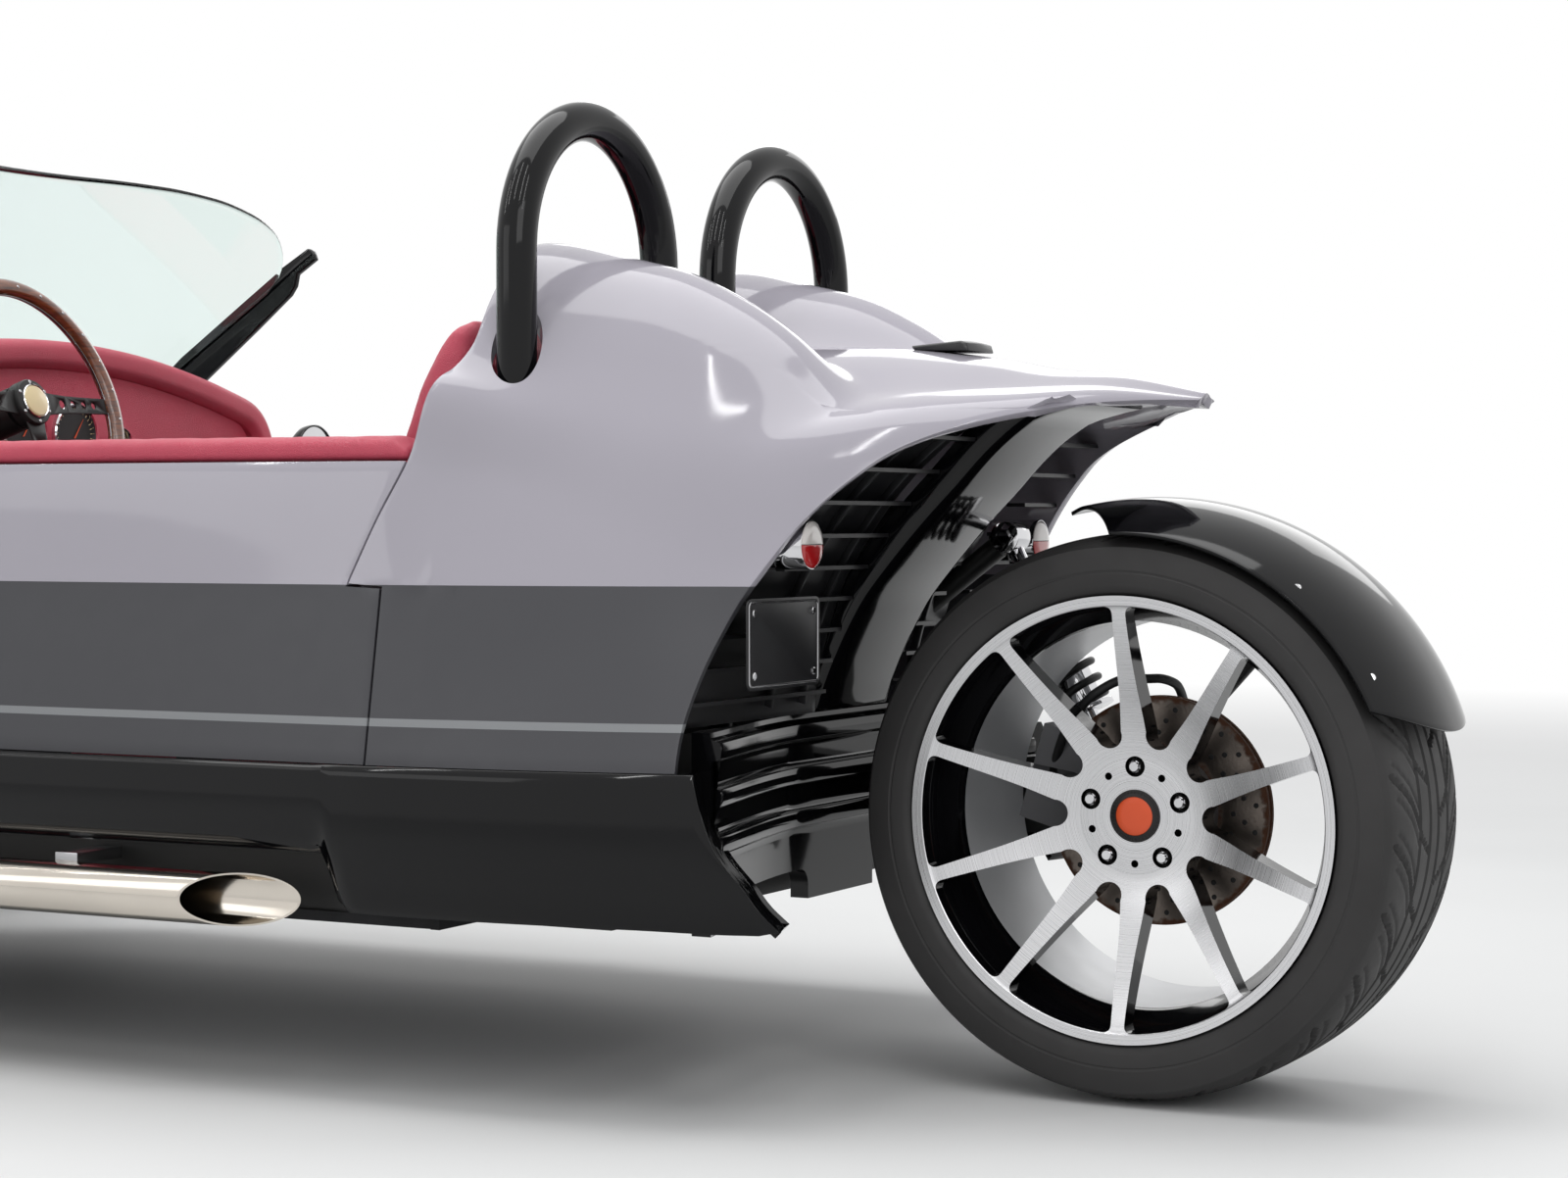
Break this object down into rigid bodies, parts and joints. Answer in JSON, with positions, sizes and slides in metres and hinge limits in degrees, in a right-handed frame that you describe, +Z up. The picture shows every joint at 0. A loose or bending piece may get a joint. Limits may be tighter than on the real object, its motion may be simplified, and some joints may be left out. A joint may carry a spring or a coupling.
{
  "type": "three-wheeled roadster",
  "caption": "Open two-seat three-wheeled roadster: two steered front wheels, one rear wheel, twin roll hoops, side exhausts and a raked windscreen.",
  "frame": {"origin": "on the ground, under the middle of the whole vehicle", "axes": "+X forward, +Y to the driver's left, +Z up"},
  "size_m": [3.6501, 1.755, 1.1648],
  "materials": {
    "body_paint": "gloss lavender grey paint with a dark satin lower band",
    "gloss_black": "gloss black",
    "black_plastic": "moulded black",
    "black_metal": "satin black powder coat",
    "cast_iron": "bare casting",
    "steel": "polished stainless",
    "aluminium": "mill finish",
    "machined_rim": "machined face over gloss black pockets",
    "disc_iron": "ground face",
    "tyre": "satin rubber",
    "glass": "clear, faintly green",
    "red_leather": "raspberry red, fine grain",
    "wood": "varnished",
    "lamp_red": "clear and red lens"
  },
  "bodies": {
    "body": {"chassis": "aluminium", "cockpit_rails": "red_leather", "dash": "red_leather", "engine": "aluminium", "exhausts": "steel", "fender_stays": "black_metal", "front_arms": "black_metal", "front_dampers": "steel", "half_shafts": "steel", "headlamps": "gloss_black", "hood": "body_paint", "mirrors": "gloss_black", "nose_grille": "black_plastic", "nose_sides": "body_paint", "pedals": "black_metal", "plate_holder": "black_plastic", "rack_housing": "aluminium", "rear_arm": "black_metal", "rear_bumper": "gloss_black", "rear_caliper": "aluminium", "rear_fender": "gloss_black", "rear_grille": "black_plastic", "rear_shock": "steel", "rear_spine": "gloss_black", "roll_hoops": "gloss_black", "screen_brackets": "black_metal", "seat_backs": "red_leather", "seat_cushions": "red_leather", "side_panel_left": "body_paint", "side_panel_right": "body_paint", "skirt_left": "gloss_black", "skirt_right": "gloss_black", "steering_column": "black_plastic", "tail_lamps": "lamp_red", "tail_shell": "body_paint", "tub": "black_plastic", "windscreen": "glass"},
    "upright_left": {"knuckle_left": "cast_iron", "front_fender_left": "gloss_black", "front_caliper_left": "aluminium"},
    "front_wheel_left": {"front_rim_left": "machined_rim", "front_tyre_left": "tyre", "front_disc_left": "disc_iron"},
    "upright_right": {"knuckle_right": "cast_iron", "front_fender_right": "gloss_black", "front_caliper_right": "aluminium"},
    "front_wheel_right": {"front_rim_right": "machined_rim", "front_tyre_right": "tyre", "front_disc_right": "disc_iron"},
    "rear_wheel": {"rear_rim": "machined_rim", "rear_tyre": "tyre", "rear_disc": "disc_iron"},
    "wheel_of_steering": {"steering_wheel": "wood"},
    "rack_bar": {"rack": "steel"}
  },
  "joints": [
    {"name": "steer_left", "type": "hinge", "parent": "body", "child": "upright_left", "pos_m": [1.05509, 0.6825, 0.32], "axis": [0, 0, 1], "range_deg": [-30, 30]},
    {"name": "steer_right", "type": "hinge", "parent": "body", "child": "upright_right", "pos_m": [1.05509, -0.6825, 0.32], "axis": [0, 0, 1], "range_deg": [-30, 30]},
    {"name": "steering_wheel_turn", "type": "hinge", "parent": "body", "child": "wheel_of_steering", "pos_m": [0.00309, 0.258, 0.822], "axis": [-0.9511, 0, 0.309], "range_deg": [-270, 270]},
    {"name": "rack_slide", "type": "slide", "parent": "body", "child": "rack_bar", "axis": [0, 1, 0], "range_m": [-0.0686, 0.0686]},
    {"name": "front_spin_left", "type": "hinge", "parent": "upright_left", "child": "front_wheel_left", "pos_m": [1.05509, 0.7555, 0.32], "axis": [0, 1, 0], "continuous": true},
    {"name": "front_spin_right", "type": "hinge", "parent": "upright_right", "child": "front_wheel_right", "pos_m": [1.05509, -0.7555, 0.32], "axis": [0, 1, 0], "continuous": true},
    {"name": "rear_spin", "type": "hinge", "parent": "body", "child": "rear_wheel", "pos_m": [-1.47891, 0, 0.327], "axis": [0, 1, 0], "continuous": true}
  ],
  "couplings": [
    {"joint": "steer_right", "follows": "steer_left", "ratio": 1},
    {"joint": "steering_wheel_turn", "follows": "steer_left", "ratio": 9},
    {"joint": "rack_slide", "follows": "steer_left", "m_per_rad": -0.13}
  ]
}
